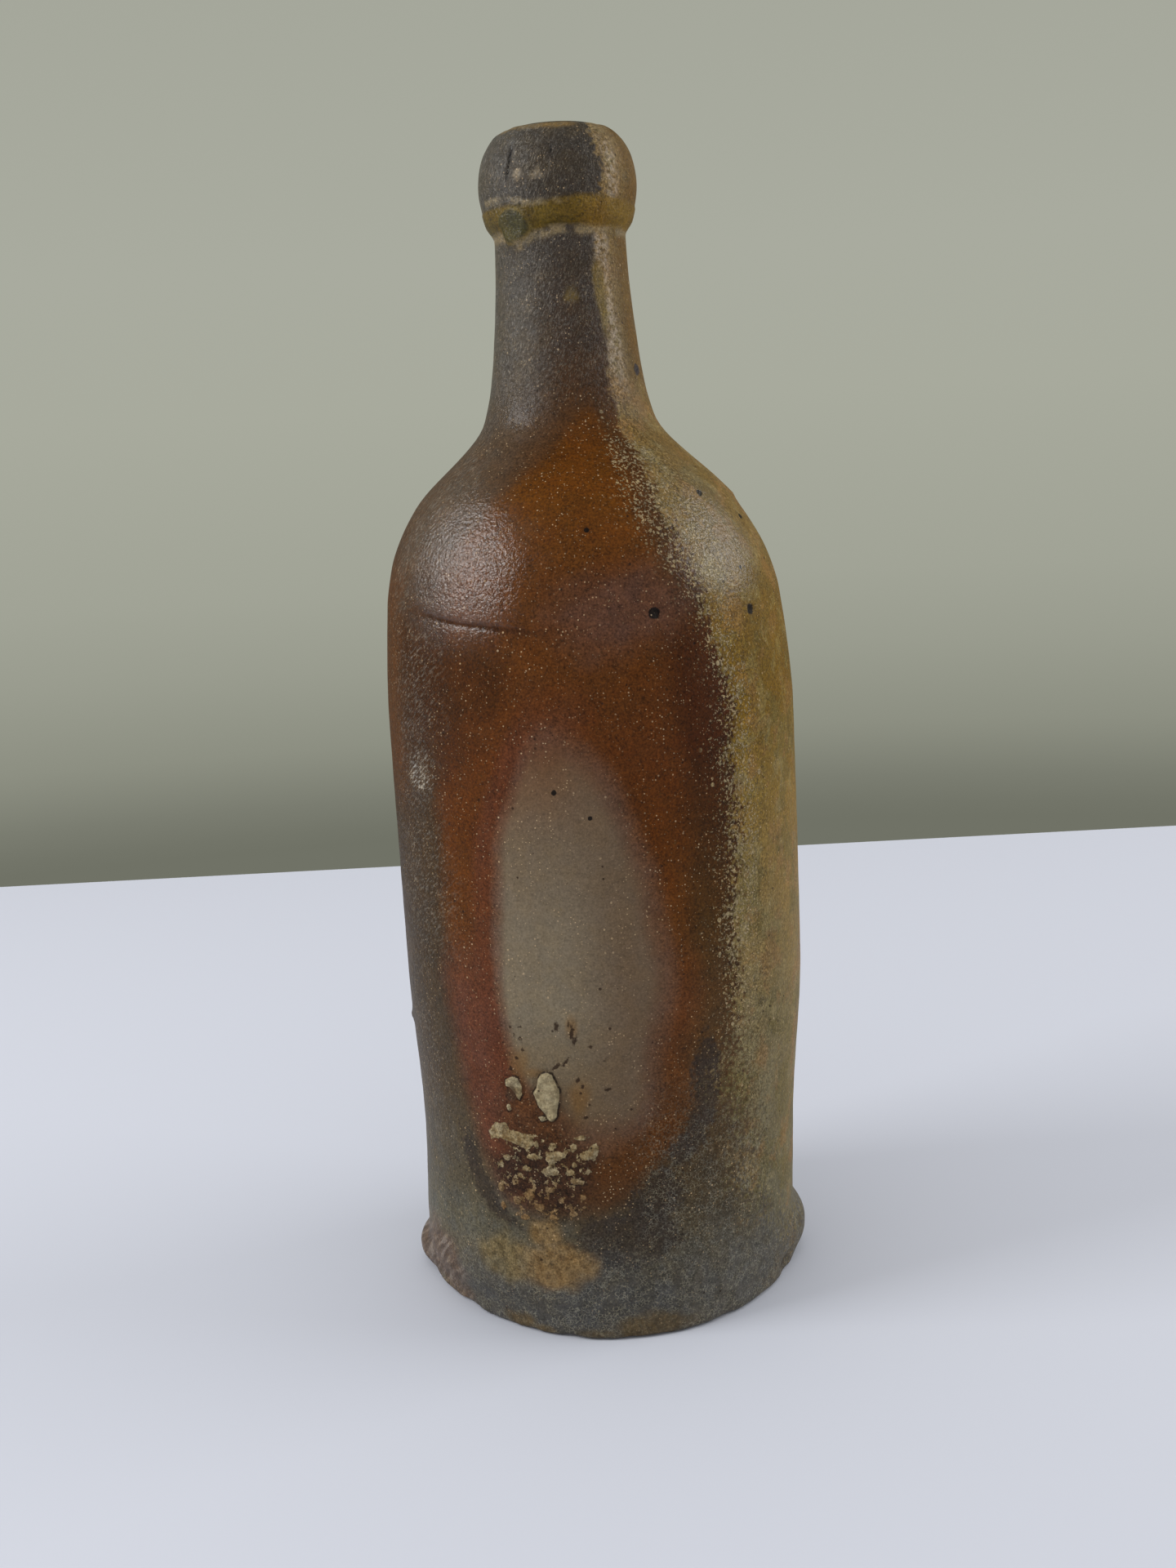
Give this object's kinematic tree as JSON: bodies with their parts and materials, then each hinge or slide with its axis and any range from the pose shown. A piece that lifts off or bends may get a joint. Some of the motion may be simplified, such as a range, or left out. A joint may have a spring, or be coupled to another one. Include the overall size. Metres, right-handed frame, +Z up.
{
  "type": "wood-fired stoneware bottle",
  "caption": "Tall thrown stoneware bottle with a narrow neck, a rounded collar at the mouth and an uneven foot.",
  "frame": {"origin": "on the ground under the foot, on the axis of the mouth", "axes": "+Z up along the axis of the mouth, -Y towards the front of the picture, +X to its right"},
  "size_m": [0.1015, 0.0994, 0.279],
  "materials": {
    "stoneware": "wood-fired stoneware with natural ash glaze, satin to half gloss, finely pitted"
  },
  "bodies": {
    "root": {"bottle": "stoneware"}
  },
  "joints": []
}
